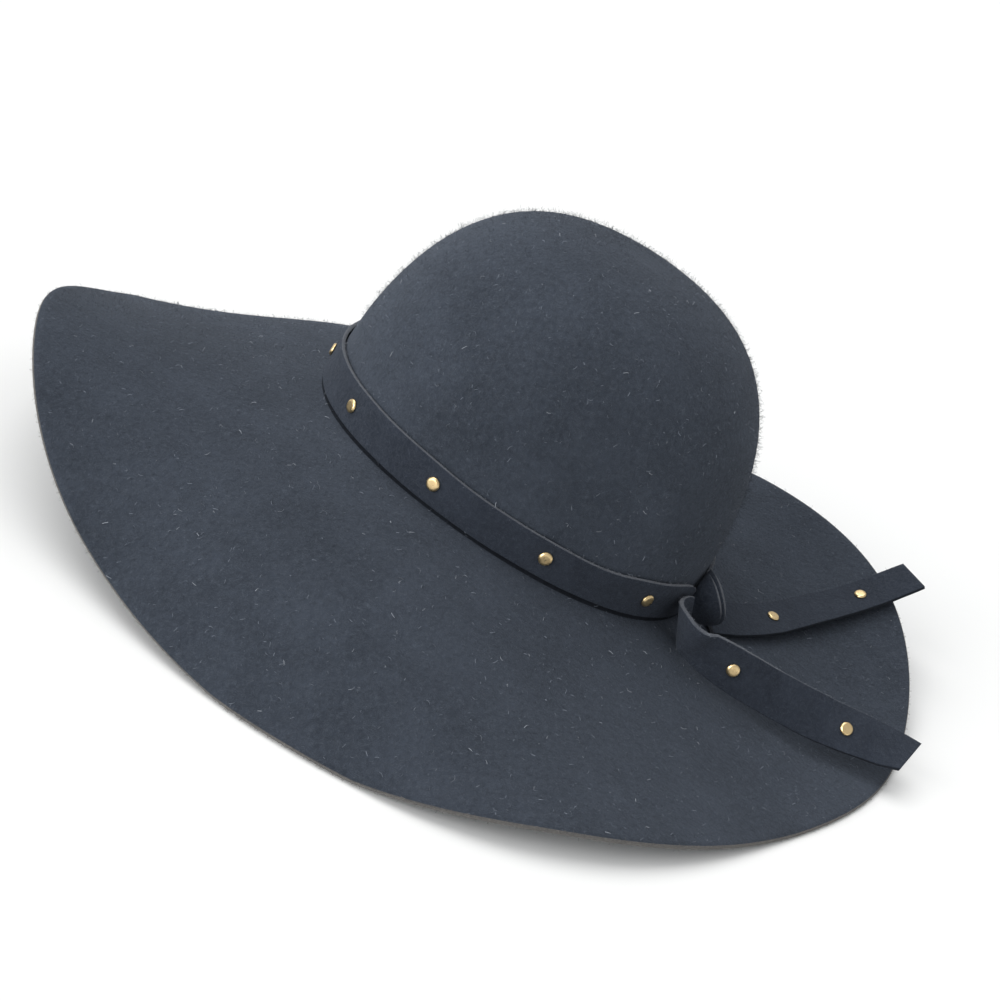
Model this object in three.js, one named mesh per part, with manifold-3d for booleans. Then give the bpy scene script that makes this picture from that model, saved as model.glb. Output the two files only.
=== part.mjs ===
// Floppy hat of blocked wool felt, with a studded felt strap tied round the crown.
//
// Millimetres, +Z up. The hat rests by itself on the plane z = 0, on the low folds of its brim,
// and the origin is on that plane, under the middle of the whole hat. The head opening is
// longest along X: -X is its front, +X its back, and the strap is tied near the back.
// The crown's own axis leans a little, because the brim's folds are not all the same.

import * as THREE from 'three';
import Module from 'manifold-3d';
import { mergeVertices } from 'three/addons/utils/BufferGeometryUtils.js';

// Felt body
const feltWall = 2;
const headGirth = 570; // round the inside of the crown's foot
const headOval = 1.1; // the head opening's length over its width
const crownHeight = 116;
const crownFullness = 2.3; // higher keeps the wall upright for longer
const crownShoulder = 2.9; // higher makes the top flatter
const dentFade = 0.25; // share of the crown's width inside which a dent fades out
const footRise = 7; // from the crown's foot at the ends of the head up to its foot at the sides
const footBend = 2.6; // from the corner between crown and brim to where its bend ends
const bendRings = [0, 0.3, 0.6]; // shares of the bend
const lowRing = 7.3; // height of the crown's lowest ring of points over its foot
const brimWidth = 120;
const restPress = 1.2; // how far the brim's lowest folds are pressed flat by resting

// Strap
const strapWidth = 18; // round the band, where its lower edge is tucked into the bend
const tailWidth = 20.5;
const strapThick = 2;
const strapLift = 1.9; // from the brim's root up to the strap's lower edge
const bandGap = 0.7; // between the felt and the band
const seatGap = 0.5; // between the strap and the pieces that sit on it
const knotTurn = -6; // degrees round from the back
const knotAlong = 25; // along the strap
const knotTall = 26;
const knotOut = 10; // out from the band
const knotRise = 0.5; // its middle over the band's middle
const tailFrontLength = 134.2;
const tailBackLength = 142;
const tailFrontSlant = 9; // how much further the cut end's upper corner runs than its lower one
const tailBackSlant = 0;
const slantRun = 14; // stretch at the end in which the sections turn into the slanted cut

// Studs
const studPitch = 54.2; // round the band
const tailStudPitch = 58.2; // along a tail
const studAcross = 6;
const studProud = 1.3;
const studEdge = 0.5; // height of the cap's straight rim
const studFlat = 0.8; // share of the cap's width inside its bevel
const studBevel = 0.85; // share of its height where the bevel ends
const shankAcross = 2;
const shankGap = 0.42; // between the shank and its hole in the strap
const bandFirstStud = 47; // from the knot's middle
const tailFrontFirstStud = 44.6; // from the tail's root
const tailBackFirstStud = 53.2;

// The brim's folds, a row every 30 degrees round from the back. rootFall and edgeFall are how
// steeply the felt falls at the crown and at the cut edge, in degrees, and a negative fall
// rises. reach is the width of felt there, as a share of brimWidth.
const brimFolds = [
  { turn: 0, rootFall: 17, edgeFall: -16, reach: 0.99 },
  { turn: 30, rootFall: 18, edgeFall: -40, reach: 1.02 },
  { turn: 60, rootFall: 16, edgeFall: -21, reach: 1.0 },
  { turn: 90, rootFall: 15, edgeFall: 26, reach: 0.98 },
  { turn: 120, rootFall: 11, edgeFall: 44, reach: 0.96 },
  { turn: 150, rootFall: 8.5, edgeFall: 57, reach: 0.94 },
  { turn: 180, rootFall: 18, edgeFall: 20, reach: 0.95 },
  { turn: 210, rootFall: 13, edgeFall: 0.5, reach: 1.04 },
  { turn: 240, rootFall: 12, edgeFall: 36, reach: 1.04 },
  { turn: 270, rootFall: 9.5, edgeFall: 38, reach: 1.07 },
  { turn: 300, rootFall: 17, edgeFall: 2.5, reach: 1.02 },
  { turn: 330, rootFall: 16, edgeFall: -2.5, reach: 0.93 },
];

// Shallow dents in the crown, a swelling where depth is negative. depth and high, where the
// dent's middle is, are shares of crownHeight. wide and tall are its spread in degrees and in
// that share.
const crownDents = [
  { turn: -62, high: 0.52, depth: 0.022, wide: 20, tall: 0.2 },
  { turn: -118, high: 0.72, depth: 0.012, wide: 24, tall: 0.16 },
  { turn: -86, high: 0.5, depth: -0.014, wide: 19, tall: 0.2 },
];

// The knot, from its seat on the band to its outer end, as shares of its sizes
const knotRound = [
  { out: 0, round: 0.72 },
  { out: 0.2, round: 0.95 },
  { out: 0.5, round: 1 },
  { out: 0.82, round: 0.9 },
  { out: 1, round: 0.55 },
];

// The tails' routes over the brim, a row for each bend. They follow the edge that the strap
// stands or lies on. turn is in degrees from the knot, out is a share of the brim's width
// there, lift is the height of that edge over the felt, in millimetres, and lean is how far
// the strap is laid back from upright, in degrees.
const tailFrontRoute = [
  { turn: -12.5, out: 0.125, lift: 0.8, lean: -40 },
  { turn: -16, out: 0.13, lift: 1, lean: -42 },
  { turn: -18, out: 0.165, lift: 1.6, lean: -30 },
  { turn: -17.4, out: 0.22, lift: 2.2, lean: -8 },
  { turn: -14.8, out: 0.33, lift: 3.2, lean: 10 },
  { turn: -9.5, out: 0.51, lift: 4.4, lean: 24 },
  { turn: -5.6, out: 0.718, lift: 6.3, lean: 38 },
  { turn: -3, out: 0.902, lift: 8.2, lean: 54 },
  { turn: -1.4, out: 1.08, lift: 10, lean: 78 },
];
const tailBackRoute = [
  { turn: 3.4, out: 0.16, lift: 0.8, lean: 80 },
  { turn: 12.5, out: 0.283, lift: 2.6, lean: 88 },
  { turn: 20.8, out: 0.45, lift: 4.6, lean: 92 },
  { turn: 27, out: 0.65, lift: 6.4, lean: 93 },
  { turn: 30.6, out: 0.88, lift: 6.4, lean: 93 },
  { turn: 32.6, out: 1.16, lift: 6, lean: 93 },
];

// How finely the shapes are cut into faces
const sectors = 64;
const crownRings = 10;
const brimRings = 11;
const tailSteps = 60;
const knotSides = 20;
const studSides = 12;
const shankSides = 8;

const radians = Math.PI / 180;
const up = new THREE.Vector3(0, 0, 1);

// Value of one column of the folds at any turn, on a smooth closed curve through the rows
function foldAt(turn, column) {
  const rows = brimFolds.length;
  const place = ((((turn % 360) + 360) % 360) / 360) * rows;
  const row = Math.floor(place);
  const t = place - row;
  const [before, here, next, after] = [-1, 0, 1, 2].map(
    (step) => brimFolds[(row + step + rows) % rows][column],
  );
  const bow = 2 * before - 5 * here + 4 * next - after + t * (3 * (here - next) + after - before);
  return here + 0.5 * t * (next - before + t * bow);
}

// Half the length and half the width of the crown's foot, outside the felt
const outerGirth = headGirth + 2 * Math.PI * feltWall;
const ovalSquash = ((headOval - 1) / (headOval + 1)) ** 2;
const girthOfUnit =
  Math.PI * (headOval + 1) * (1 + (3 * ovalSquash) / (10 + Math.sqrt(4 - 3 * ovalSquash)));
const halfWidth = outerGirth / girthOfUnit;
const halfLength = halfWidth * headOval;

// The level outward direction of the oval at a turn
function outwardAt(turn) {
  const t = turn * radians;
  return new THREE.Vector3(Math.cos(t) / halfLength, Math.sin(t) / halfWidth, 0).normalize();
}

function footLine(turn) {
  return (-footRise / 2) * Math.cos(2 * turn * radians);
}

function dentAt(turn, high) {
  let depth = 0;
  for (const dent of crownDents) {
    const away = ((turn - dent.turn + 540) % 360) - 180;
    const spread = (away / dent.wide) ** 2 + ((high - dent.high) / dent.tall) ** 2;
    depth += dent.depth * crownHeight * Math.exp(-spread);
  }
  return depth;
}

// A point of the crown's outer face at a height above its foot
function crownPoint(turn, height) {
  const t = turn * radians;
  const high = Math.min(height / crownHeight, 1);
  const shrink = (1 - high ** crownFullness) ** (1 / crownShoulder);
  const inward = dentAt(turn, high) * Math.min(1, shrink / dentFade);
  const point = new THREE.Vector3(halfLength * Math.cos(t), halfWidth * Math.sin(t), 0);
  point.multiplyScalar(shrink).addScaledVector(outwardAt(turn), -inward);
  point.z = height + footLine(turn) * (1 - high);
  return point;
}

// A point of the brim's top face. share runs from 0 at the crown to 1 at the cut edge.
function brimPoint(turn, share) {
  const root = foldAt(turn, 'rootFall') * radians;
  const edge = foldAt(turn, 'edgeFall') * radians;
  const width = brimWidth * foldAt(turn, 'reach');
  const bend = Math.abs(edge - root) < 1e-4 ? 1e-4 : edge - root;
  const fall = root + bend * share;
  const out = (width * (Math.sin(fall) - Math.sin(root))) / bend;
  const down = (width * (Math.cos(root) - Math.cos(fall))) / bend;
  const t = turn * radians;
  const point = new THREE.Vector3(halfLength * Math.cos(t), halfWidth * Math.sin(t), footLine(turn));
  return point.addScaledVector(outwardAt(turn), out).addScaledVector(up, -down);
}

// The bend between crown and brim, from 0 at the crown to 1 at the brim
function footPoint(turn, share) {
  const width = brimWidth * foldAt(turn, 'reach');
  const from = crownPoint(turn, footBend);
  const corner = brimPoint(turn, 0);
  const to = brimPoint(turn, footBend / width);
  const point = from.multiplyScalar((1 - share) ** 2);
  return point.addScaledVector(corner, 2 * share * (1 - share)).addScaledVector(to, share ** 2);
}

// The felt's top face as rings of points, from beside the crown's top to the brim's cut edge
function topRings() {
  const rings = [];
  const ring = (pointAt) => {
    const points = [];
    for (let i = 0; i < sectors; i += 1) {
      points.push(pointAt((360 * i) / sectors));
    }
    rings.push(points);
  };
  for (let i = 1; i < crownRings; i += 1) {
    const round = (i / crownRings) * 90 * radians;
    const height = crownHeight * Math.cos(round) ** (2 / crownFullness);
    ring((turn) => crownPoint(turn, Math.max(height, lowRing)));
  }
  for (const share of bendRings) {
    ring((turn) => footPoint(turn, share));
  }
  for (let i = 0; i <= brimRings; i += 1) {
    ring((turn) => {
      const first = footBend / (brimWidth * foldAt(turn, 'reach'));
      return brimPoint(turn, first + ((1 - first) * i) / brimRings);
    });
  }
  return rings;
}

// Outward direction of the top face at each point of the rings
function ringNormals(rings, pole) {
  return rings.map((points, row) =>
    points.map((_, i) => {
      const inner = row > 0 ? rings[row - 1][i] : pole;
      const outer = rings[Math.min(row + 1, rings.length - 1)][i];
      const left = points[(i + 1) % sectors];
      const right = points[(i + sectors - 1) % sectors];
      const outwards = outer.clone().sub(inner);
      return outwards.cross(left.clone().sub(right)).normalize();
    }),
  );
}

// The plane that the points rest on when their weight is over `middle`: the plane through
// three of them that no point is below, with the middle over the triangle of the three
function restingPlane(points, middle) {
  const planeThrough = (feet) => {
    const plane = new THREE.Plane().setFromCoplanarPoints(...feet);
    return plane.normal.z < 0 ? plane.negate() : plane;
  };
  const holds = (feet) => {
    const side = feet.map((foot, i) => {
      const next = feet[(i + 1) % 3];
      return (next.x - foot.x) * (middle.y - foot.y) - (next.y - foot.y) * (middle.x - foot.x);
    });
    return side.every((value) => value >= 0) || side.every((value) => value <= 0);
  };
  const far = 10 * brimWidth;
  let feet = [90, 210, 330].map((turn) =>
    new THREE.Vector3(far * Math.cos(turn * radians), far * Math.sin(turn * radians), far),
  );
  let plane = planeThrough(feet);
  for (let round = 0; round < points.length; round += 1) {
    const lowest = points.reduce((a, b) => (plane.distanceToPoint(b) < plane.distanceToPoint(a) ? b : a));
    if (plane.distanceToPoint(lowest) > -1e-6) {
      break;
    }
    const swaps = [0, 1, 2].map((i) => feet.map((foot, k) => (k === i ? lowest : foot)));
    feet = swaps.find(holds);
    plane = planeThrough(feet);
  }
  return plane;
}

// Felt faces, before and after the brim's low folds are pressed flat
const pole = crownPoint(0, crownHeight);
const looseTop = topRings();
const normals = ringNormals(looseTop, pole);
const looseUnder = looseTop.map((points, row) =>
  points.map((point, i) => point.clone().addScaledVector(normals[row][i], -feltWall)),
);
const middle = looseTop.flat().reduce((sum, point) => sum.add(point), new THREE.Vector3());
middle.divideScalar(looseTop.length * sectors);
const floor = restingPlane(looseUnder.slice(crownRings).flat(), middle);
floor.constant -= restPress;

function pressed(point, height) {
  const short = height - floor.distanceToPoint(point);
  return short > 0 ? point.clone().addScaledVector(floor.normal, short) : point.clone();
}

// Turns a list of triangles, each three points, into one closed body
function bodyOf(triangles) {
  const places = new Float32Array(triangles.length * 9);
  triangles.forEach((corners, i) => {
    corners.forEach((corner, k) => corner.toArray(places, 9 * i + 3 * k));
  });
  const geometry = new THREE.BufferGeometry();
  geometry.setAttribute('position', new THREE.BufferAttribute(places, 3));
  return mergeVertices(geometry, 1e-4);
}

function feltGeometry() {
  const top = looseTop.map((points) => points.map((point) => pressed(point, feltWall)));
  const under = looseUnder.map((points) => points.map((point) => pressed(point, 0)));
  const underPole = pole.clone().addScaledVector(up, -feltWall);
  const triangles = [];
  const last = top.length - 1;
  for (let i = 0; i < sectors; i += 1) {
    const next = (i + 1) % sectors;
    triangles.push([pole, top[0][i], top[0][next]]);
    triangles.push([underPole, under[0][next], under[0][i]]);
    for (let row = 0; row < last; row += 1) {
      const [a, b, c, d] = [top[row][i], top[row + 1][i], top[row + 1][next], top[row][next]];
      triangles.push([a, b, c], [a, c, d]);
      const [e, f, g, h] = [under[row][i], under[row + 1][i], under[row + 1][next], under[row][next]];
      triangles.push([e, g, f], [e, h, g]);
    }
    triangles.push([top[last][i], under[last][i], under[last][next]]);
    triangles.push([top[last][i], under[last][next], top[last][next]]);
  }
  return bodyOf(triangles);
}

// A strap through sections, each with its centre, the direction across the strap and the
// direction that its face looks in. A closed strap joins its last section to its first.
function strapGeometry(sections, width, closed) {
  const corners = sections.map(({ centre, across, face }) =>
    [[-1, -1], [1, -1], [1, 1], [-1, 1]].map(([side, front]) =>
      centre.clone()
        .addScaledVector(across, (side * width) / 2)
        .addScaledVector(face, (front * strapThick) / 2),
    ),
  );
  const triangles = [];
  const steps = closed ? sections.length : sections.length - 1;
  for (let i = 0; i < steps; i += 1) {
    const here = corners[i];
    const there = corners[(i + 1) % corners.length];
    for (let k = 0; k < 4; k += 1) {
      const next = (k + 1) % 4;
      triangles.push([here[k], there[next], there[k]], [here[k], here[next], there[next]]);
    }
  }
  if (!closed) {
    const [a, b, c, d] = corners[0];
    const [e, f, g, h] = corners[corners.length - 1];
    triangles.push([a, c, b], [a, d, c], [e, f, g], [e, g, h]);
  }
  return bodyOf(triangles);
}

// The band's section at a turn, round the foot of the crown
function bandSection(turn) {
  const low = crownPoint(turn, strapLift);
  const high = crownPoint(turn, strapLift + strapWidth);
  const across = high.clone().sub(low).normalize();
  const face = outwardAt(turn);
  face.addScaledVector(across, -face.dot(across)).normalize();
  const centre = low.clone().add(high).multiplyScalar(0.5);
  centre.addScaledVector(face, bandGap + strapThick / 2);
  return { centre, across, face };
}

// A place on the band by its distance along the strap from the knot's middle, against the turn
function bandPlace(distance) {
  const steps = 12 * sectors;
  let travelled = 0;
  let before = bandSection(knotTurn).centre;
  for (let i = 1; i <= steps; i += 1) {
    const turn = knotTurn - (360 * i) / steps;
    const here = bandSection(turn).centre;
    const step = here.distanceTo(before);
    if (travelled + step >= distance) {
      return bandSection(turn + ((1 - (distance - travelled) / step) * 360) / steps);
    }
    travelled += step;
    before = here;
  }
  return bandSection(knotTurn);
}

function bandGirth() {
  let girth = 0;
  for (let turn = 0; turn < 360; turn += 1) {
    girth += bandSection(turn).centre.distanceTo(bandSection(turn + 1).centre);
  }
  return girth;
}

function brimNormal(turn, share) {
  const along = brimPoint(turn, share + 0.01).sub(brimPoint(turn, share - 0.01));
  const round = brimPoint(turn + 1, share).sub(brimPoint(turn - 1, share));
  return along.cross(round).normalize();
}

// A tail's middle line, dense enough to measure along
function tailLine(route) {
  const curveOf = (valueAt) => new THREE.CatmullRomCurve3(route.map(valueAt), false, 'centripetal');
  const normal = curveOf(({ turn, out }) => brimNormal(knotTurn + turn, out));
  const lean = curveOf((row) => new THREE.Vector3(row.lean, 0, 0));
  const foot = curveOf(({ turn, out, lift, lean: laid }) => {
    const height = lift + (Math.abs(Math.sin(laid * radians)) * strapThick) / 2;
    const point = brimPoint(knotTurn + turn, out);
    return point.addScaledVector(brimNormal(knotTurn + turn, out), height);
  });
  const line = [];
  const steps = 4 * tailSteps;
  for (let i = 0; i <= steps; i += 1) {
    const travel = foot.getTangent(i / steps);
    const upright = normal.getPoint(i / steps);
    upright.addScaledVector(travel, -upright.dot(travel)).normalize();
    const side = travel.clone().cross(upright);
    const laid = lean.getPoint(i / steps).x * radians;
    const across = upright.multiplyScalar(Math.cos(laid)).addScaledVector(side, -Math.sin(laid));
    line.push({ centre: foot.getPoint(i / steps).addScaledVector(across, tailWidth / 2), across });
  }
  line.forEach((place, i) => {
    const travel = line[Math.min(i + 1, steps)].centre.clone().sub(line[Math.max(i - 1, 0)].centre);
    place.face = travel.cross(place.across).normalize();
  });
  return line;
}

// The section of a tail at a distance from its root. Past its route a tail runs on straight.
function tailSection(line, distance) {
  let travelled = 0;
  for (let i = 1; i < line.length; i += 1) {
    const [before, here] = [line[i - 1], line[i]];
    const step = here.centre.distanceTo(before.centre);
    if (travelled + step >= distance || i === line.length - 1) {
      const t = (distance - travelled) / step;
      return {
        centre: before.centre.clone().lerp(here.centre, t),
        across: before.across.clone().lerp(here.across, Math.min(t, 1)).normalize(),
        face: before.face.clone().lerp(here.face, Math.min(t, 1)).normalize(),
      };
    }
    travelled += step;
  }
  return line[0];
}

// A tail's sections, the last of which turn by degrees into its slanted cut end
function tailSections(line, length, slant) {
  return Array.from({ length: tailSteps + 1 }, (_, i) => {
    const distance = (length * i) / tailSteps;
    const section = tailSection(line, distance);
    const share = Math.max(0, 1 - (length - distance) / slantRun);
    const travel = section.across.clone().cross(section.face);
    section.across.addScaledVector(travel, (share * slant) / tailWidth);
    return section;
  });
}

// A round form from a profile of [radius, height] points, without its spare vertices
function roundGeometry(profile, sides) {
  const points = profile.map(([radius, height]) => new THREE.Vector2(radius, height));
  const geometry = new THREE.LatheGeometry(points, sides);
  geometry.deleteAttribute('normal');
  geometry.deleteAttribute('uv');
  return mergeVertices(geometry, 1e-4);
}

// Turns a round form so that it stands out of the strap at a section
function standOn(geometry, { centre, across, face }) {
  const turned = new THREE.Matrix4().makeBasis(face.clone().cross(across), face, across);
  turned.setPosition(centre);
  return geometry.applyMatrix4(turned);
}

// A knot that wraps over the band: round about the outward direction, longer than it is tall
function knotGeometry() {
  const seat = bandSection(knotTurn);
  const out = strapThick / 2 + seatGap;
  const profile = knotRound.map((row) => [row.round, out + row.out * knotOut]);
  const closed = [[0, out], ...profile, [0, out + knotOut]];
  const geometry = roundGeometry(closed, knotSides).scale(knotAlong / 2, 1, knotTall / 2);
  const centre = seat.centre.clone().addScaledVector(seat.across, knotRise);
  return standOn(geometry, { ...seat, centre });
}

function studGeometry(section) {
  const radius = studAcross / 2;
  const seat = strapThick / 2 + seatGap;
  const profile = [
    [0, -strapThick / 2],
    [shankAcross / 2, -strapThick / 2],
    [shankAcross / 2, seat],
    [radius, seat],
    [radius, seat + studEdge],
    [radius * studFlat, seat + studProud * studBevel],
    [0, seat + studProud],
  ];
  return standOn(roundGeometry(profile, studSides), section);
}

function shankHole(section) {
  const radius = shankAcross / 2 + shankGap;
  const profile = [[0, -strapThick], [radius, -strapThick], [radius, strapThick], [0, strapThick]];
  return standOn(roundGeometry(profile, shankSides), section);
}

const wasm = await Module();
wasm.setup();

function solidOf(geometry) {
  const vertProperties = new Float32Array(geometry.attributes.position.array);
  const triVerts = new Uint32Array(geometry.index.array);
  return new wasm.Manifold(new wasm.Mesh({ numProp: 3, vertProperties, triVerts }));
}

// The strap with a hole for the shank of each stud
function pierced(geometry, sections) {
  let solid = solidOf(geometry);
  for (const section of sections) {
    solid = solid.subtract(solidOf(shankHole(section)));
  }
  const { vertProperties, triVerts } = solid.getMesh();
  const cut = new THREE.BufferGeometry();
  cut.setAttribute('position', new THREE.BufferAttribute(new Float32Array(vertProperties), 3));
  cut.setIndex(new THREE.BufferAttribute(new Uint32Array(triVerts), 1));
  return cut;
}

const hat = new THREE.Group();

function addPiece(name, geometry, material) {
  const mesh = new THREE.Mesh(geometry, material);
  mesh.name = name;
  geometry.computeVertexNormals();
  hat.add(mesh);
}

const feltColour = { color: 0x30353d, roughness: 0.95, metalness: 0 };
const strapColour = { color: 0x262b32, roughness: 0.9, metalness: 0 };
const studColour = { color: 0xc9a45a, roughness: 0.32, metalness: 1 };

addPiece('felt_body', feltGeometry(), new THREE.MeshStandardMaterial(feltColour));

const bandStudCount = 1 + Math.floor((bandGirth() - 2 * bandFirstStud) / studPitch + 1e-6);
const bandStuds = Array.from({ length: bandStudCount }, (_, i) =>
  bandPlace(bandFirstStud + i * studPitch),
);
const bandSections = Array.from({ length: sectors }, (_, i) => bandSection((360 * i) / sectors));
const band = pierced(strapGeometry(bandSections, strapWidth, true), bandStuds);
addPiece('hat_band', band, new THREE.MeshStandardMaterial(strapColour));
addPiece('band_knot', knotGeometry(), new THREE.MeshStandardMaterial(strapColour));

const tails = [
  {
    name: 'tail_front',
    route: tailFrontRoute,
    length: tailFrontLength,
    slant: tailFrontSlant,
    first: tailFrontFirstStud,
  },
  {
    name: 'tail_back',
    route: tailBackRoute,
    length: tailBackLength,
    slant: tailBackSlant,
    first: tailBackFirstStud,
  },
];
const studPlaces = [...bandStuds];
for (const { name, route, length, slant, first } of tails) {
  const line = tailLine(route);
  const places = [first, first + tailStudPitch].map((distance) => tailSection(line, distance));
  const sections = tailSections(line, length, slant);
  const strap = pierced(strapGeometry(sections, tailWidth, false), places);
  addPiece(name, strap, new THREE.MeshStandardMaterial(strapColour));
  studPlaces.push(...places);
}
studPlaces.forEach((place, i) => {
  const name = `stud_${String(i + 1).padStart(2, '0')}`;
  addPiece(name, studGeometry(place), new THREE.MeshStandardMaterial(studColour));
});

// Stands the hat on the plane that its brim rests on, with the origin under its middle
hat.quaternion.setFromUnitVectors(floor.normal, up);
hat.position.set(0, 0, floor.constant);
const box = new THREE.Box3().setFromObject(hat, true);
const centre = box.getCenter(new THREE.Vector3());
hat.position.x -= centre.x;
hat.position.y -= centre.y;
hat.updateMatrixWorld(true);

const group = new THREE.Group();
group.add(hat);

export default group;
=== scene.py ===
import math

import bmesh
import bpy
import numpy as np
from mathutils import Matrix, Vector


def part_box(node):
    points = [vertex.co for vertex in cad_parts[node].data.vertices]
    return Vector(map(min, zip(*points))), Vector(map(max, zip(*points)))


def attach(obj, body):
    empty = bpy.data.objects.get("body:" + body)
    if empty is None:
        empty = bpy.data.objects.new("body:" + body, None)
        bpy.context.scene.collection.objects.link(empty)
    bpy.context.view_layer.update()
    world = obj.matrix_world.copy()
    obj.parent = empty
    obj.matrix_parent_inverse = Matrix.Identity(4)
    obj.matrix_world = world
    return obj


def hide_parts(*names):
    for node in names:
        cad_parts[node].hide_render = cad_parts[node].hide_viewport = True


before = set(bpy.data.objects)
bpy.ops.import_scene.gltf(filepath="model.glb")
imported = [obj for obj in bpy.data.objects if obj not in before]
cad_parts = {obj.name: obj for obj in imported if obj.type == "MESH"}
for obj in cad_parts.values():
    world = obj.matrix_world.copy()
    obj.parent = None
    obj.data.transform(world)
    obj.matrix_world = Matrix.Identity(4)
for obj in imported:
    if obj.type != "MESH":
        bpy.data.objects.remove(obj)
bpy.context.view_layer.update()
metre = 0.001  # sizes below are in millimetres, and Blender's are in metres
tiny = 1e-4  # what counts as none, where a division follows


def addObject(name, data):
    thing = bpy.data.objects.new(name, data)
    bpy.context.scene.collection.objects.link(thing)
    return thing


# The felt body's form. It is the solid's own, so that the finer skin lies on it.
hatForm = {
    "wall": 2.0,
    "headGirth": 570.0,
    "headOval": 1.1,
    "crownHeight": 116.0,
    "crownFullness": 2.3,
    "crownShoulder": 2.9,
    "dentFade": 0.25,
    "footRise": 7.0,
    "footBend": 2.6,
    "lowRing": 7.3,
    "brimWidth": 120.0,
    "restPress": 1.2,
}

# A value every 30 degrees round from the back of the head
brimFolds = {
    "rootFall": [17, 18, 16, 15, 11, 8.5, 18, 13, 12, 9.5, 17, 16],
    "edgeFall": [-16, -40, -21, 26, 44, 57, 20, 0.5, 36, 38, 2.5, -2.5],
    "reach": [0.99, 1.02, 1.0, 0.98, 0.96, 0.94, 0.95, 1.04, 1.04, 1.07, 1.02, 0.93],
}

crownDents = [
    {"turn": -62, "high": 0.52, "depth": 0.022, "wide": 20, "tall": 0.2},
    {"turn": -118, "high": 0.72, "depth": 0.012, "wide": 24, "tall": 0.16},
    {"turn": -86, "high": 0.5, "depth": -0.014, "wide": 19, "tall": 0.2},
]

outerGirth = hatForm["headGirth"] + 2 * math.pi * hatForm["wall"]
ovalSquash = ((hatForm["headOval"] - 1) / (hatForm["headOval"] + 1)) ** 2
girthOfUnit = math.pi * (hatForm["headOval"] + 1) * (
    1 + 3 * ovalSquash / (10 + math.sqrt(4 - 3 * ovalSquash))
)
halfWidth = outerGirth / girthOfUnit
halfLength = halfWidth * hatForm["headOval"]


def unit(vectors):
    return vectors / np.linalg.norm(vectors, axis=-1, keepdims=True)


# Degrees from one place round the hat to another, from -180 to 180
def turnFrom(start, turn):
    return (turn - start + 540) % 360 - 180


def foldAt(turn, column):
    values = np.array(brimFolds[column], float)
    rows = len(values)
    place = (np.asarray(turn, float) % 360) / 360 * rows
    row = np.floor(place).astype(int)
    t = place - row
    before, here, following, after = (values[(row + step) % rows] for step in (-1, 0, 1, 2))
    bow = 2 * before - 5 * here + 4 * following - after + t * (3 * (here - following) + after - before)
    return here + 0.5 * t * (following - before + t * bow)


def ovalAt(turn, level=0.0):
    t = np.radians(turn)
    return np.stack([halfLength * np.cos(t), halfWidth * np.sin(t), level + 0 * t], -1)


def outwardAt(turn):
    t = np.radians(turn)
    return unit(np.stack([np.cos(t) / halfLength, np.sin(t) / halfWidth, 0 * t], -1))


def footLine(turn):
    return -hatForm["footRise"] / 2 * np.cos(2 * np.radians(turn))


def dentAt(turn, high):
    depth = 0 * turn
    for dent in crownDents:
        aside = turnFrom(dent["turn"], turn) / dent["wide"]
        above = (high - dent["high"]) / dent["tall"]
        depth = depth + dent["depth"] * hatForm["crownHeight"] * np.exp(-(aside ** 2 + above ** 2))
    return depth


def crownPoint(turn, height):
    turn = np.asarray(turn, float)
    high = np.minimum(height / hatForm["crownHeight"], 1)
    shrink = (1 - high ** hatForm["crownFullness"]) ** (1 / hatForm["crownShoulder"])
    inward = dentAt(turn, high) * np.minimum(1, shrink / hatForm["dentFade"])
    point = ovalAt(turn) * np.expand_dims(shrink + 0 * turn, -1)
    point = point - outwardAt(turn) * np.expand_dims(inward, -1)
    point[..., 2] = height + footLine(turn) * (1 - high)
    return point


def brimPoint(turn, share):
    turn = np.asarray(turn, float)
    root = np.radians(foldAt(turn, "rootFall"))
    bend = np.radians(foldAt(turn, "edgeFall")) - root
    bend = np.where(np.abs(bend) < tiny, tiny, bend)
    width = hatForm["brimWidth"] * foldAt(turn, "reach")
    fall = root + bend * share
    out = width * (np.sin(fall) - np.sin(root)) / bend
    down = width * (np.cos(root) - np.cos(fall)) / bend
    point = ovalAt(turn, footLine(turn)) + outwardAt(turn) * np.expand_dims(out, -1)
    point[..., 2] -= down
    return point


def footPoint(turn, share):
    width = hatForm["brimWidth"] * foldAt(turn, "reach")
    start = crownPoint(turn, hatForm["footBend"])
    end = brimPoint(turn, hatForm["footBend"] / width)
    corner = brimPoint(turn, 0)
    return start * (1 - share) ** 2 + corner * 2 * share * (1 - share) + end * share ** 2


def topRings(sectors, crownRings, bendShares, brimRings):
    turn = 360 * np.arange(sectors) / sectors
    rings = []
    for i in range(1, crownRings):
        level = math.cos(math.radians(90 * i / crownRings)) ** (2 / hatForm["crownFullness"])
        rings.append(crownPoint(turn, max(level * hatForm["crownHeight"], hatForm["lowRing"])))
    rings += [footPoint(turn, share) for share in bendShares]
    first = hatForm["footBend"] / (hatForm["brimWidth"] * foldAt(turn, "reach"))
    rings += [brimPoint(turn, first + (1 - first) * i / brimRings) for i in range(brimRings + 1)]
    return np.array(rings)


crownPole = crownPoint(np.zeros(1), hatForm["crownHeight"])[0]


def ringNormals(rings):
    inner = np.concatenate([np.broadcast_to(crownPole, rings[:1].shape), rings[:-1]])
    outer = np.concatenate([rings[1:], rings[-1:]])
    outwards = outer - inner
    sideways = np.roll(rings, -1, axis=1) - np.roll(rings, 1, axis=1)
    return unit(np.cross(outwards, sideways))


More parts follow.
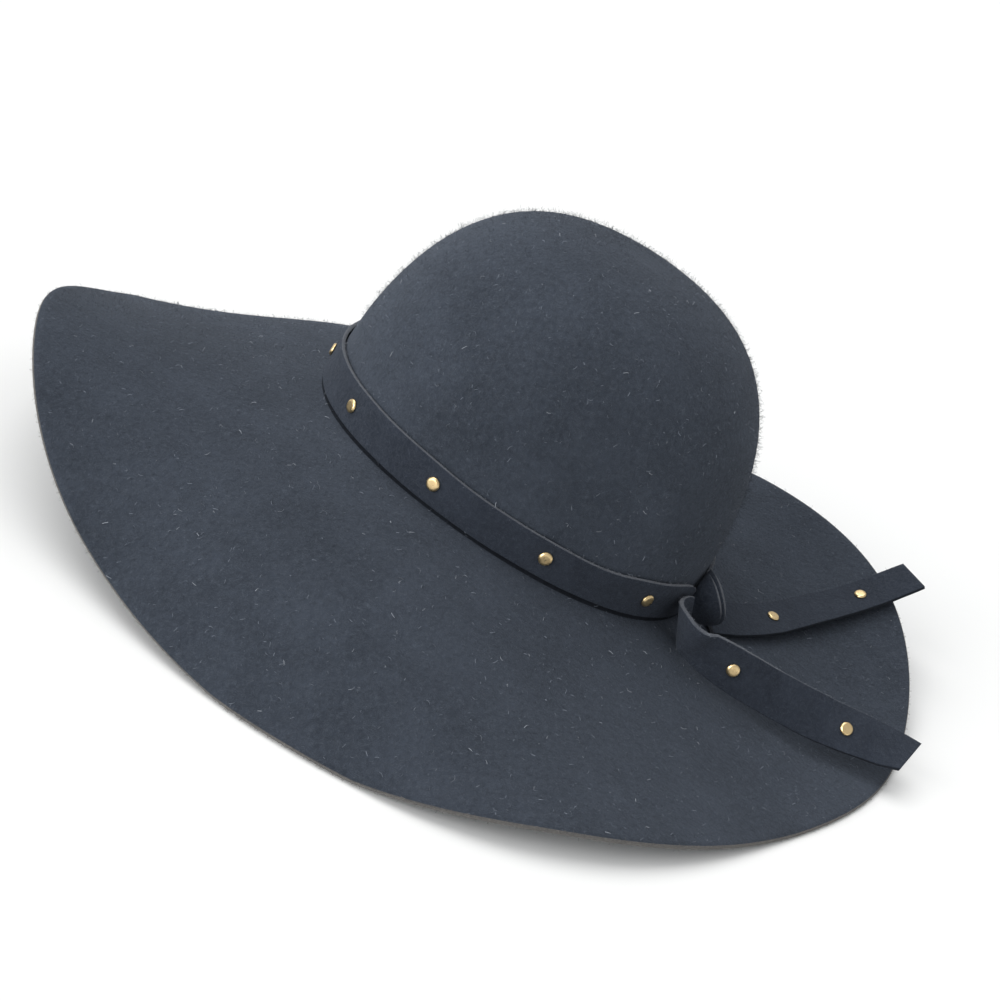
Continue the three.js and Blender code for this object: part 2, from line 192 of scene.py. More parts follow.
# The plane that the points rest on while their weight is over the middle
def restingPlane(points, middle):
    def planeThrough(feet):
        normal = unit(np.cross(feet[1] - feet[0], feet[2] - feet[0]))
        normal = normal if normal[2] > 0 else -normal
        return normal, -normal @ feet[0]

    def holds(feet):
        sides = []
        for foot, following in zip(feet, feet[1:] + feet[:1]):
            along, to = following - foot, middle - foot
            sides.append(along[0] * to[1] - along[1] * to[0])
        return all(side >= 0 for side in sides) or all(side <= 0 for side in sides)

    far = 10 * hatForm["brimWidth"]
    feet = [far * np.array([math.cos(t), math.sin(t), 1]) for t in np.radians([90, 210, 330])]
    normal, constant = planeThrough(feet)
    for step in range(len(points)):
        heights = points @ normal + constant
        if heights.min() > -1e-6:
            break
        lowest = points[heights.argmin()]
        swaps = [[lowest if k == i else foot for k, foot in enumerate(feet)] for i in range(3)]
        feet = next(swap for swap in swaps if holds(swap))
        normal, constant = planeThrough(feet)
    return normal, constant


coarseForm = {"sectors": 64, "crownRings": 10, "bendShares": [0, 0.3, 0.6], "brimRings": 11}
coarseTop = topRings(**coarseForm)
coarseUnder = coarseTop - hatForm["wall"] * ringNormals(coarseTop)
weightMiddle = coarseTop.reshape(-1, 3).mean(axis=0)
restRings = coarseUnder[coarseForm["crownRings"]:].reshape(-1, 3)
floorNormal, floorConstant = restingPlane(restRings, weightMiddle)
floorConstant -= hatForm["restPress"]


# Felt below a height over the resting plane is pressed up to it
def pressed(points, height):
    short = np.maximum(height - (points @ floorNormal + floorConstant), 0)
    return points + floorNormal * np.expand_dims(short, -1)


hatTurn = np.array(Vector(floorNormal).rotation_difference(Vector((0, 0, 1))).to_matrix())
coarseFelt = np.concatenate([pressed(coarseTop, hatForm["wall"]), pressed(coarseUnder, 0)])
coarseFelt = coarseFelt.reshape(-1, 3) @ hatTurn.T * metre
hatShift = np.array(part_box("felt_body")[0]) - coarseFelt.min(axis=0)


# From the hat's own millimetres into the frame
def placed(points):
    return np.asarray(points) @ hatTurn.T * metre + hatShift


coarseSize = coarseFelt.max(axis=0) - coarseFelt.min(axis=0)
solidSize = np.array(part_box("felt_body")[1]) - np.array(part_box("felt_body")[0])
print("hat placed, size differs from the solid by", np.abs(coarseSize - solidSize).max())


# Camera, as the photograph was taken, about the hat's own axes
cameraForm = {
    "lens": 54.0,
    "sensor": 36.0,
    "azimuth": 5.1,
    "elevation": 24.358,
    "roll": 33.164,
    "distance": 695.2,
    "aside": 1.18,
    "above": -15.5,
    "clip": (0.05, 50),
}


def makeCamera(form):
    az, el, roll = (math.radians(form[key]) for key in ("azimuth", "elevation", "roll"))
    back = np.array([math.sin(az) * math.cos(el), -math.cos(az) * math.cos(el), math.sin(el)])
    right = np.array([math.cos(az), math.sin(az), 0])
    above = np.cross(back, right)
    place = form["aside"] * right + np.array([0, 0, form["above"]]) + form["distance"] * back
    across = math.cos(roll) * right + math.sin(roll) * above
    upright = -math.sin(roll) * right + math.cos(roll) * above
    data = bpy.data.cameras.new("camera")
    data.lens = form["lens"]
    data.sensor_width = form["sensor"]
    data.clip_start, data.clip_end = form["clip"]
    camera = addObject("camera", data)
    axes = np.stack([across, upright, back], axis=1)
    pose = Matrix((hatTurn @ axes).tolist()).to_4x4()
    pose.translation = Vector(placed(place))
    camera.matrix_world = pose
    bpy.context.scene.camera = camera
    return camera


camera = makeCamera(cameraForm)
cameraAxes = camera.matrix_world.to_3x3()
print("camera made")


# Node helpers
def addNode(tree, kind, at, **values):
    node = tree.nodes.new(kind)
    node.location = at
    for key, value in values.items():
        setattr(node, key, value)
    return node


# A node group, from its name and kind and the kinds and values of its sockets
def newTree(name, kind, inputs, outputs):
    tree = bpy.data.node_groups.new(name, kind)
    for way, sockets in (("INPUT", inputs), ("OUTPUT", outputs)):
        for title, (socketKind, value) in sockets.items():
            socket = tree.interface.new_socket(name=title, in_out=way, socket_type="NodeSocket" + socketKind)
            if value is not None:
                socket.default_value = value
    start, end = addNode(tree, "NodeGroupInput", (-1300, 0)), addNode(tree, "NodeGroupOutput", (1000, 0))
    return tree, start, end


def setInputs(node, **values):
    for key, value in values.items():
        node.inputs[key].default_value = value


# Links another node's output to a socket, or sets the socket's own value
def feed(tree, socket, value):
    if isinstance(value, bpy.types.NodeSocket):
        tree.links.new(value, socket)
    else:
        socket.default_value = (*value, 1) if isinstance(value, tuple) else value


def maths(tree, kind, a, b, at, **values):
    node = addNode(tree, "ShaderNodeMath", at, operation=kind, **values)
    for socket, value in zip(node.inputs, (a, b)):
        feed(tree, socket, value)
    return node.outputs[0]


def spread(tree, source, low, high, at, first=0.0, last=1.0):
    node = addNode(tree, "ShaderNodeMapRange", at)
    setInputs(node, **{"From Min": low, "From Max": high, "To Min": first, "To Max": last})
    tree.links.new(source, node.inputs["Value"])
    return node.outputs["Result"]


def mixColour(tree, share, first, second, at):
    node = addNode(tree, "ShaderNodeMix", at, data_type="RGBA", blend_type="MIX")
    for number, value in ((0, share), (6, first), (7, second)):
        feed(tree, node.inputs[number], value)
    return node.outputs[2]


def newMaterial(name, **values):
    material = bpy.data.materials.new(name)
    material.use_nodes = True
    tree = material.node_tree
    shader = tree.nodes["Principled BSDF"]
    setInputs(shader, **values)
    return material, tree, shader


# A noise on the piece's own coordinates
def noiseOn(tree, where, at, **values):
    node = addNode(tree, "ShaderNodeTexNoise", at)
    setInputs(node, **values)
    tree.links.new(where, node.inputs["Vector"])
    return node


# Wool: soft blotches, grain, and single fibres that show as fine light lines
woolForm = {
    "blotch": {"Detail": 3, "Roughness": 0.6, "Distortion": 0.4},
    "blotchRange": (0.3, 0.7),
    "grain": {"Detail": 4, "Roughness": 0.7, "Distortion": 0.2},
    "grainRange": (0.28, 0.72),
    "strands": [
        {"Detail": 2, "Roughness": 0.55, "Distortion": 1.6},
        {"Detail": 3, "Roughness": 0.55, "Distortion": 2.6},
    ],
    "strandWidth": 0.022,
    "grainHeight": 0.7,
    "fibreHeight": 0.5,
}


def makeWoolGroup():
    scales = {"Blotch scale": 60, "Grain scale": 700, "Fibre scale": 420}
    inputs = {"Vector": ("Vector", None), **{name: ("Float", value) for name, value in scales.items()}}
    outputs = {name: ("Float", None) for name in ("Blotch", "Grain", "Fibre", "Height")}
    tree, start, end = newTree("woolGrain", "ShaderNodeTree", inputs, outputs)

    def noise(scaleName, at, values):
        node = noiseOn(tree, start.outputs["Vector"], at, **values)
        tree.links.new(start.outputs[scaleName], node.inputs["Scale"])
        return node.outputs[0]

    blotch = noise("Blotch scale", (-850, 300), woolForm["blotch"])
    blotch = spread(tree, blotch, *woolForm["blotchRange"], (-620, 300))
    grain = noise("Grain scale", (-850, 60), woolForm["grain"])
    grain = spread(tree, grain, *woolForm["grainRange"], (-620, 60))
    strands = []
    for row, values in enumerate(woolForm["strands"]):
        level = -220 - 260 * row
        source = noise("Fibre scale", (-850, level), values)
        away = maths(tree, "SUBTRACT", source, 0.5, (-620, level))
        away = maths(tree, "ABSOLUTE", away, 0, (-450, level))
        strands.append(spread(tree, away, 0.0, woolForm["strandWidth"], (-280, level), 1.0, 0.0))
    fibre = maths(tree, "MAXIMUM", *strands, (-80, -300))
    fibre = maths(tree, "MULTIPLY", fibre, grain, (90, -300))
    coarse = maths(tree, "MULTIPLY", grain, woolForm["grainHeight"], (90, 60))
    fine = maths(tree, "MULTIPLY", fibre, woolForm["fibreHeight"], (250, -300))
    height = maths(tree, "ADD", coarse, fine, (420, -60))
    for name, source in (("Blotch", blotch), ("Grain", grain), ("Fibre", fibre), ("Height", height)):
        tree.links.new(source, end.inputs[name])
    return tree


woolGroup = makeWoolGroup()

# What a finish below doesn't say
woolUsual = {"rough": 1.0, "sheenTint": (0.62, 0.7, 0.84), "sheenRough": 0.6, "shine": 0.15}

woolFinishes = {
    "hatFelt": {
        "dark": (0.0145, 0.0185, 0.0255), "light": (0.043, 0.0525, 0.07), "strand": (0.098, 0.115, 0.142),
        "blotch": 0.46, "grain": 0.56, "fibre": 0.6,
        "blotchScale": 26, "grainScale": 430, "fibreScale": 300,
        "rough": 0.95, "sheen": 0.13, "bump": 0.85, "relief": 0.6,
    },
    "strapFelt": {
        "dark": (0.0095, 0.0125, 0.019), "light": (0.026, 0.0325, 0.046), "strand": (0.066, 0.079, 0.104),
        "blotch": 0.4, "grain": 0.6, "fibre": 0.55,
        "blotchScale": 75, "grainScale": 500, "fibreScale": 340,
        "rough": 0.94, "sheen": 0.11, "bump": 0.85, "relief": 0.55,
    },
    "cutEdge": {
        "dark": (0.045, 0.045, 0.048), "light": (0.11, 0.105, 0.1), "strand": (0.22, 0.205, 0.185),
        "blotch": 0.3, "grain": 0.8, "fibre": 0.7,
        "blotchScale": 120, "grainScale": 900, "fibreScale": 600,
        "sheen": 0.3, "sheenTint": (0.8, 0.78, 0.74), "bump": 0.8, "relief": 0.5,
    },
    # painted shade: near-black wool for the felt in the bend under the band and for the straps' lower cut
    # edges, where shade falls
    "paintedShade": {
        "dark": (0.0035, 0.0045, 0.007), "light": (0.011, 0.014, 0.02), "strand": (0.03, 0.036, 0.047),
        "blotch": 0.3, "grain": 0.6, "fibre": 0.4,
        "blotchScale": 120, "grainScale": 700, "fibreScale": 500,
        "sheen": 0.05, "bump": 0.6, "relief": 0.4,
    },
    "strapEdge": {
        "dark": (0.03, 0.034, 0.043), "light": (0.072, 0.081, 0.098), "strand": (0.19, 0.205, 0.235),
        "blotch": 0.3, "grain": 0.8, "fibre": 0.6,
        "blotchScale": 160, "grainScale": 900, "fibreScale": 600,
        "sheen": 0.3, "sheenTint": (0.7, 0.72, 0.76), "bump": 0.7, "relief": 0.4,
    },
}


def addBump(tree, shader, height, strength, depth, at):
    bump = addNode(tree, "ShaderNodeBump", at)
    setInputs(bump, Strength=strength, Distance=depth * metre)
    tree.links.new(height, bump.inputs["Height"])
    tree.links.new(bump.outputs["Normal"], shader.inputs["Normal"])


def makeWoolMaterial(name, finish):
    finish = {**woolUsual, **finish}
    material, tree, shader = newMaterial(name, **{
        "Roughness": finish["rough"],
        "Sheen Weight": finish["sheen"],
        "Sheen Roughness": finish["sheenRough"],
        "Sheen Tint": (*finish["sheenTint"], 1),
        "Specular IOR Level": finish["shine"],
    })
    where = addNode(tree, "ShaderNodeTexCoord", (-1300, 0))
    wool = addNode(tree, "ShaderNodeGroup", (-1080, 0), node_tree=woolGroup)
    setInputs(wool, **{
        "Blotch scale": finish["blotchScale"],
        "Grain scale": finish["grainScale"],
        "Fibre scale": finish["fibreScale"],
    })
    tree.links.new(where.outputs["Object"], wool.inputs["Vector"])
    blotch = maths(tree, "MULTIPLY", wool.outputs["Blotch"], finish["blotch"], (-860, 260))
    grain = maths(tree, "MULTIPLY", wool.outputs["Grain"], finish["grain"], (-860, 100))
    both = maths(tree, "ADD", blotch, grain, (-680, 200), use_clamp=True)
    ground = mixColour(tree, both, finish["dark"], finish["light"], (-480, 220))
    fibre = maths(tree, "MULTIPLY", wool.outputs["Fibre"], finish["fibre"], (-860, -80))
    colour = mixColour(tree, fibre, ground, finish["strand"], (-280, 200))
    tree.links.new(colour, shader.inputs["Base Color"])
    addBump(tree, shader, wool.outputs["Height"], finish["bump"], finish["relief"], (-480, -220))
    return material


wool = {name: makeWoolMaterial(name, finish) for name, finish in woolFinishes.items()}
print("wool materials made")


def plainMesh(name, points, faces):
    mesh = bpy.data.meshes.new(name)
    mesh.from_pydata(points, [], faces)
    mesh.polygons.foreach_set("use_smooth", np.full(len(mesh.polygons), True))
    mesh.update()
    return mesh


def makeMesh(name, points, faces, materials, slots=None):
    mesh = plainMesh(name, placed(points).tolist(), faces)
    for material in materials:
        mesh.materials.append(material)
    if slots is not None:
        mesh.polygons.foreach_set("material_index", np.asarray(slots, np.int32))
    return addObject(name, mesh)


def gridFaces(rows, columns, closed=True, first=0):
    faces = []
    for row in range(rows - 1):
        for i in range(columns if closed else columns - 1):
            following = (i + 1) % columns
            here, there = first + row * columns, first + (row + 1) * columns
            faces.append((here + i, there + i, there + following, here + following))
    return faces


# The two ends of a tube made of rows of points
def endFaces(rows, columns, first=0):
    last = first + (rows - 1) * columns
    return [tuple(range(first, first + columns))[::-1], tuple(range(last, last + columns))]


# The felt body as one skin, from the crown's top round the cut edge to the hollow's top
skinForm = {
    "sectors": 300,
    "crownRings": 36,
    "bendShares": [0, 0.15, 0.3, 0.45, 0.6, 0.8],
    "brimRings": 44,
    "paintedShadeRings": 5,  # rings in the bend under the band, darkened with painted shade
    "edgeRings": 5,
    "edgeRound": 0.35,
    "edgeFullness": 0.6,
}
skinTop = topRings(*(skinForm[key] for key in ("sectors", "crownRings", "bendShares", "brimRings")))
skinNormals = ringNormals(skinTop)
skinUnder = pressed(skinTop - hatForm["wall"] * skinNormals, 0)
skinTop = pressed(skinTop, hatForm["wall"])


def makeFeltBody():
    top, under = skinTop, skinUnder
    edge = []
    away = unit(top[-1] - top[-2])
    for i in range(1, skinForm["edgeRings"] + 1):
        share = i / (skinForm["edgeRings"] + 1)
        bulge = skinForm["edgeRound"] * math.sin(math.pi * share) ** skinForm["edgeFullness"]
        edge.append(top[-1] * (1 - share) + under[-1] * share + away * bulge)
    rows = np.concatenate([top, np.array(edge), under[::-1]])
    sectors = skinForm["sectors"]
    points = np.concatenate([rows.reshape(-1, 3), [crownPole, crownPole - [0, 0, hatForm["wall"]]]])
    faces = gridFaces(len(rows), sectors)
    rowSlots = np.zeros(len(rows) - 1, int)
    rowSlots[len(top) - 1:len(top) + len(edge)] = 1
    # the rings in the bend under the band get the painted shade
    bend = skinForm["crownRings"] - 1
    rowSlots[bend:bend + skinForm["paintedShadeRings"]] = 2
    slots = np.repeat(rowSlots, sectors).tolist()
    outerPole, innerPole, last = len(points) - 2, len(points) - 1, (len(rows) - 1) * sectors
    for i in range(sectors):
        following = (i + 1) % sectors
        faces.append((outerPole, i, following))
        faces.append((innerPole, last + following, last + i))
        slots += [0, 0]
    finishes = [wool[finish] for finish in ("hatFelt", "cutEdge", "paintedShade")]
    return makeMesh("feltBody", points, faces, finishes, slots)


feltBody = makeFeltBody()
print("felt body made,", len(feltBody.data.polygons), "faces")


# Strap
strapForm = {
    "width": 18.0,
    "tailWidth": 20.5,
    "thick": 2.0,
    "lift": 1.9,
    "bandGap": 0.7,
    "seatGap": 0.5,
    "edgeRound": 0.55,
    "edgeAngles": [18, 45, 72],
    "edgeReach": 1.2,
    "spans": 6,
    "pinch": 0.45,  # how much narrower the band is at the knot, all of it off the upper edge
    "pinchWide": 8.0,
}

# Where the band's upper edge has drawn in round the crown: degrees, and millimetres lost
edgeDrawn = {
    "turn": [-180, -128, -104, -88, -70, -54, -46, -40, -28, 0, 60, 120, 180],
    "lost": [0, 0, 0.6, 1.8, 1.6, 2.1, 1.4, 0.3, 0, 0.2, 0.6, 0, 0],
    "smooth": 4,
}

# Faint waves in the straps' widths. The band's are height, number round it and start in degrees,
# and the tails' are height, millimetres to a radian and start in radians.
bandWaves = [(0.12, 7, 20), (0.08, 17, 80)]
tailWaves = [(0.14, 6.1, 0), (0.1, 2.7, 1)]

knotForm = {
    "turn": -6.0,
    "rise": 0.5,
    "tilt": 45.0,  # the turns' axis over the outward direction
    "pinch": 0.36,  # share of a turn's width that is left where it dips under
    "fullness": 0.85,
    "curl": 0.3,  # how far its edges are drawn in, as a share of half its width
    "curlBend": 2.6,
    "deepest": 2.4,  # how far behind its seat it may reach, which keeps it out of the crown
}


def bandSection(turn):
    low = crownPoint(turn, strapForm["lift"])
    high = crownPoint(turn, strapForm["lift"] + strapForm["width"])
    across = unit(high - low)
    face = outwardAt(turn)
    face = unit(face - across * np.sum(face * across, -1, keepdims=True))
    centre = (low + high) / 2 + face * (strapForm["bandGap"] + strapForm["thick"] / 2)
    return centre, across, face


# The strap's cut through, as (across, front) points, and the material slot of each of its sides.
# The upper cut edge is pale with loose fibres, and the lower one is drawn in near-black wool as painted
# shade.
def strapProfile():
    half, deep, corner = strapForm["tailWidth"] / 2, strapForm["thick"] / 2, strapForm["edgeRound"]
    flat = np.linspace(-half + corner, half - corner, strapForm["spans"] + 1)
    turned = np.radians(strapForm["edgeAngles"])
    outline, sideSlots = [], []

    def rounded(sideWay, frontWay, angles):
        for angle in angles:
            side = half - corner + corner * math.sin(angle)
            front = deep - corner + corner * math.cos(angle)
            outline.append((sideWay * side, frontWay * front))

    for value in flat:
        outline.append((value, -deep))
    rounded(1, -1, turned)
    rounded(1, 1, turned[::-1])
    for value in flat[::-1]:
        outline.append((value, deep))
    rounded(-1, 1, turned)
    rounded(-1, -1, turned[::-1])
    for k in range(len(outline)):
        here, following = outline[k], outline[(k + 1) % len(outline)]
        onEdge = min(abs(here[0]), abs(following[0])) > half - corner / 2
        sideSlots.append((1 if here[0] > 0 else 2) if onEdge else 0)
    return np.array(outline), sideSlots


def makeStrap(name, centre, across, face, width, closed):
    outline, sideSlots = strapProfile()
    half = strapForm["tailWidth"] / 2
    side = np.sign(outline[:, 0]) * (np.abs(outline[:, 0]) - half)
    side = side[None, :] + np.sign(outline[:, 0])[None, :] * np.asarray(width)[:, None] / 2
    inner = np.abs(outline[:, 0]) < half - strapForm["edgeRound"] * strapForm["edgeReach"]
    stretch = (np.asarray(width)[:, None] / 2 - strapForm["edgeRound"]) / (half - strapForm["edgeRound"])
    side = np.where(inner[None, :], outline[None, :, 0] * stretch, side)
    front = np.broadcast_to(outline[:, 1], side.shape)
    points = centre[:, None] + across[:, None] * side[..., None] + face[:, None] * front[..., None]
    rows, columns = len(centre), len(outline)
    faces, slots = [], []
    for row in range(rows if closed else rows - 1):
        for k in range(columns):
            following, onward = (k + 1) % columns, (row + 1) % rows
            faces.append((row * columns + k, row * columns + following,
                          onward * columns + following, onward * columns + k))
            slots.append(sideSlots[k])
    if not closed:
        faces += endFaces(rows, columns)
        slots += [1, 1]
    # the third finish is painted shade, for the lower cut edges
    finishes = [wool[finish] for finish in ("strapFelt", "strapEdge", "paintedShade")]
    return makeMesh(name, points.reshape(-1, 3), faces, finishes, slots)


def bandRun():
    turn = np.arange(360.0)
    centre, across, face = bandSection(turn)
    gather = np.exp(-(turnFrom(knotForm["turn"], turn) / strapForm["pinchWide"]) ** 2)
    wave = sum(high * np.sin(np.radians(turn * count + start)) for high, count, start in bandWaves)
    drawn = np.interp(turnFrom(0, turn), edgeDrawn["turn"], edgeDrawn["lost"])
    smoothing = range(-edgeDrawn["smooth"], edgeDrawn["smooth"] + 1)
    drawn = sum(np.roll(drawn, step) for step in smoothing) / len(smoothing)
    lost = strapForm["width"] * strapForm["pinch"] * gather + drawn
    return centre - across * lost[:, None] / 2, across, face, strapForm["width"] - lost + wave


hatBand = makeStrap("hatBand", *bandRun(), True)
print("band made")


# The tails' routes over the brim. turn is from the knot, out is a share of the brim's width,
# lift is the height of the edge that the strap stands or lies on, and lean is its lay-back.
tailRoutes = {
    "tailFront": {
        "length": 134.2, "slant": 9.0, "firstStud": 44.6,
        "turn": [-12.5, -16, -18, -17.4, -14.8, -9.5, -5.6, -3, -1.4],
        "out": [0.125, 0.13, 0.165, 0.22, 0.33, 0.51, 0.718, 0.902, 1.08],
        "lift": [0.8, 1, 1.6, 2.2, 3.2, 4.4, 6.3, 8.2, 10],
        "lean": [-40, -42, -30, -8, 10, 24, 38, 54, 78],
    },
    "tailBack": {
        "length": 142.0, "slant": 0.0, "firstStud": 53.2,
        "turn": [3.4, 12.5, 20.8, 27, 30.6, 32.6],
        "out": [0.16, 0.283, 0.45, 0.65, 0.88, 1.16],
        "lift": [0.8, 2.6, 4.6, 6.4, 6.4, 6],
        "lean": [80, 88, 92, 93, 93, 93],
    },
}
tailSteps = 240
tailSections = 180
slantRun = 14.0  # stretch at the end in which the strap turns into its slanted cut


def brimNormal(turn, share):
    along = brimPoint(turn, share + 0.01) - brimPoint(turn, share - 0.01)
    about = brimPoint(turn + 1, share) - brimPoint(turn - 1, share)
    return unit(np.cross(along, about))


# A smooth curve through points, whose bends keep to the points however far apart they are
def curveThrough(points, shares):
    points = np.asarray(points, float)
    ends = [2 * points[0] - points[1]], [2 * points[-1] - points[-2]]
    padded = np.concatenate([ends[0], points, ends[1]])
    last = len(points) - 1
    found = []
    for share in shares:
        place = min(max(share, 0), 1) * last
        row = min(int(place), last - 1)
        t = place - row
        p0, p1, p2, p3 = padded[row:row + 4]
        d0, d1, d2 = (np.sum((b - a) ** 2) ** 0.25 for a, b in ((p0, p1), (p1, p2), (p2, p3)))
        d1 = d1 if d1 > tiny else 1.0
        d0, d2 = (d if d > tiny else d1 for d in (d0, d2))
        m1 = d1 * ((p1 - p0) / d0 - (p2 - p0) / (d0 + d1) + (p2 - p1) / d1)
        m2 = d1 * ((p2 - p1) / d1 - (p3 - p1) / (d1 + d2) + (p3 - p2) / d2)
        bow = -3 * p1 + 3 * p2 - 2 * m1 - m2
        found.append(p1 + m1 * t + bow * t ** 2 + (2 * p1 - 2 * p2 + m1 + m2) * t ** 3)
    return np.array(found)


def tailLine(route):
    turn = knotForm["turn"] + np.array(route["turn"], float)
    out, lift, lean = (np.array(route[key], float) for key in ("out", "lift", "lean"))
    normals = brimNormal(turn, out)
    height = lift + np.abs(np.sin(np.radians(lean))) * strapForm["thick"] / 2
    feet = brimPoint(turn, out) + normals * height[:, None]
    shares = np.linspace(0, 1, tailSteps + 1)
    foot = curveThrough(feet, shares)
    travel = unit(curveThrough(feet, shares + tiny) - curveThrough(feet, shares - tiny))
    upright = curveThrough(normals, shares)
    upright = unit(upright - travel * np.sum(upright * travel, -1, keepdims=True))
    laid = np.radians(curveThrough(lean[:, None], shares))
    across = upright * np.cos(laid) - np.cross(travel, upright) * np.sin(laid)
    centre = foot + across * strapForm["tailWidth"] / 2
    ahead = np.concatenate([centre[1:], centre[-1:]]) - np.concatenate([centre[:1], centre[:-1]])
    return centre, across, unit(np.cross(ahead, across))


# The way travelled along a line of points, at each of them
def alongLine(points):
    return np.concatenate([[0], np.cumsum(np.linalg.norm(np.diff(points, axis=0), axis=1))])


# Sections of a tail at distances from its root, running on straight past its route
def tailAt(line, distances):
    centre, across, face = line
    travelled = alongLine(centre)
    steps = np.linalg.norm(np.diff(centre, axis=0), axis=1)
    row = np.clip(np.searchsorted(travelled, distances, side="left") - 1, 0, len(steps) - 1)
    t = ((distances - travelled[row]) / steps[row])[:, None]
    held = np.minimum(t, 1)
    place = centre[row] * (1 - t) + centre[row + 1] * t
    acrossHere = unit(across[row] * (1 - held) + across[row + 1] * held)
    return place, acrossHere, unit(face[row] * (1 - held) + face[row + 1] * held)


tailLines = {name: tailLine(route) for name, route in tailRoutes.items()}


def makeTail(name, route):
    distances = np.linspace(0, route["length"], tailSections)
    centre, across, face = tailAt(tailLines[name], distances)
    share = np.maximum(0, 1 - (route["length"] - distances) / slantRun)
    across = across + np.cross(across, face) * (share * route["slant"] / strapForm["tailWidth"])[:, None]
    wave = sum(high * np.sin(distances / run + start) for high, run, start in tailWaves)
    width = strapForm["tailWidth"] + wave
    return makeStrap(name, centre, across, face, width, False)


tails = {name: makeTail(name, route) for name, route in tailRoutes.items()}
print("tails made")


# The knot: three turns of the strap, drawn tight over each other. Each is wound round an axis
# that runs outwards and up, so that its cut edge shows as a rim. up, out and along place its
# middle over the seat on the band, and from and to are where it dips under the strap again.
knotTurns = [
    {"up": 0.1, "out": 3.9, "along": 0.6, "tall": 23.6, "deep": 8.2, "wide": 15.0, "from": -116, "to": 112},
    {"up": 0.5, "out": 4.5, "along": -1.8, "tall": 24.8, "deep": 7.4, "wide": 15.6, "from": -112, "to": 108},
    {"up": 1.2, "out": 0.6, "along": -0.9, "tall": 21.0, "deep": 5.5, "wide": 8.5, "from": -60, "to": 106},
]
knotSteps = 64
knotSpans = 18
knotEdge = [(1, 1), (1.03, 0.7), (1.04, 0), (1.03, -0.7), (1, -1)]  # a turn's rounded cut edge


def knotTurnPoints(form, seat, up, out, along):
    tilt = math.radians(knotForm["tilt"])
    axis = out * math.cos(tilt) + up * math.sin(tilt)
    tallWay = up * math.cos(tilt) - out * math.sin(tilt)
    middle = seat + up * form["up"] + out * form["out"] + along * form["along"]
    angles = np.radians(np.linspace(form["from"], form["to"], knotSteps + 1))
    ways = np.linspace(-1, 1, knotSpans + 1)
    outline = [(way, 1) for way in ways[:-1]] + knotEdge
    outline += [(way, -1) for way in ways[-2:0:-1]] + [(-way, -side) for way, side in knotEdge[:-1]]
    points = []
    for angle in angles:
        opened = max(math.cos(angle), 0) ** knotForm["fullness"]
        half = form["wide"] / 2 * (knotForm["pinch"] + (1 - knotForm["pinch"]) * opened)
        tall, deep = form["tall"] / 2 * math.sin(angle), form["deep"] * math.cos(angle)
        place = middle + tallWay * tall + along * deep
        normal = tallWay * math.sin(angle) * form["deep"] + along * math.cos(angle) * form["tall"] / 2
        normal = unit(normal)
        for way, side in outline:
            sink = knotForm["curl"] * half * abs(way) ** knotForm["curlBend"]
            points.append(place + axis * way * half + normal * (side * strapForm["thick"] / 2 - sink))
    cut = [abs(way) >= 1 and abs(outline[(k + 1) % len(outline)][0]) >= 1
           for k, (way, side) in enumerate(outline)]
    return points, cut


# What would reach through the band is flattened against it
def flattened(points, seat, out):
    points = np.array(points)
    inward = np.maximum((seat - points) @ out, 0)
    kept = knotForm["deepest"] * (1 - np.exp(-inward / knotForm["deepest"]))
    return points + out * (inward - kept)[:, None]


def makeKnot():
    centre, up, out = (part[0] for part in bandSection(np.array([knotForm["turn"]])))
    along = np.cross(out, up)
    seat = centre + up * knotForm["rise"] + out * (strapForm["thick"] / 2 + strapForm["seatGap"])
    points, faces, slots = [], [], []
    for form in knotTurns:
        first = len(points)
        found, cut = knotTurnPoints(form, seat, up, out, along)
        columns = len(cut)
        points += list(flattened(found, seat, out))
        faces += gridFaces(knotSteps + 1, columns, first=first)
        slots += [1 if side else 0 for side in cut] * knotSteps
        faces += endFaces(knotSteps + 1, columns, first)
        slots += [1, 1]
    knot = makeMesh("bandKnot", points, faces, [wool["strapFelt"], wool["strapEdge"]], slots)
    turned = bmesh.new()
    turned.from_mesh(knot.data)
    bmesh.ops.recalc_face_normals(turned, faces=turned.faces)
    turned.to_mesh(knot.data)
    turned.free()
    return knot


bandKnot = makeKnot()
print("knot made")


# Studs
studForm = {
    "pitch": 54.2,
    "tailPitch": 58.2,
    "onTail": 2,
    "bandFirst": 47.0,
    "bandSteps": 768,
    "across": 6.0,
    "proud": 1.3,
    "stand": 0.1,
    "sides": 40,
    "profile": [(0.86, 0.0), (1.0, 0.1), (1.0, 0.42), (0.96, 0.62), (0.8, 0.92), (0.74, 0.97), (0.5, 0.99)],
}

brassForm = {
    "dark": (0.70, 0.50, 0.24),
    "light": (0.84, 0.66, 0.38),
    "marks": {"Scale": 900, "Detail": 5, "Roughness": 0.7},
    "dull": {"Scale": 260, "Detail": 3, "Roughness": 0.6},
    "markRange": (0.3, 0.75),
    "rough": (0.22, 0.46),
    "bump": 0.12,
    "relief": 0.05,
}


def makeBrass():
    material, tree, shader = newMaterial("studBrass", Metallic=1.0)
    where = addNode(tree, "ShaderNodeTexCoord", (-1000, 0)).outputs["Object"]
    marks = noiseOn(tree, where, (-800, 120), **brassForm["marks"]).outputs[0]
    dull = noiseOn(tree, where, (-800, -160), **brassForm["dull"]).outputs[0]
    colour = mixColour(tree, dull, brassForm["dark"], brassForm["light"], (-500, 160))
    tree.links.new(colour, shader.inputs["Base Color"])
    rough = spread(tree, marks, *brassForm["markRange"], (-500, -120), *brassForm["rough"])
    tree.links.new(rough, shader.inputs["Roughness"])
    addBump(tree, shader, marks, brassForm["bump"], brassForm["relief"], (-500, -380))
    return material


studBrass = makeBrass()


def bandDistances():
    steps = studForm["bandSteps"]
    turn = knotForm["turn"] - np.arange(0, steps + 1) * 360 / steps
    return turn, alongLine(bandSection(turn)[0])


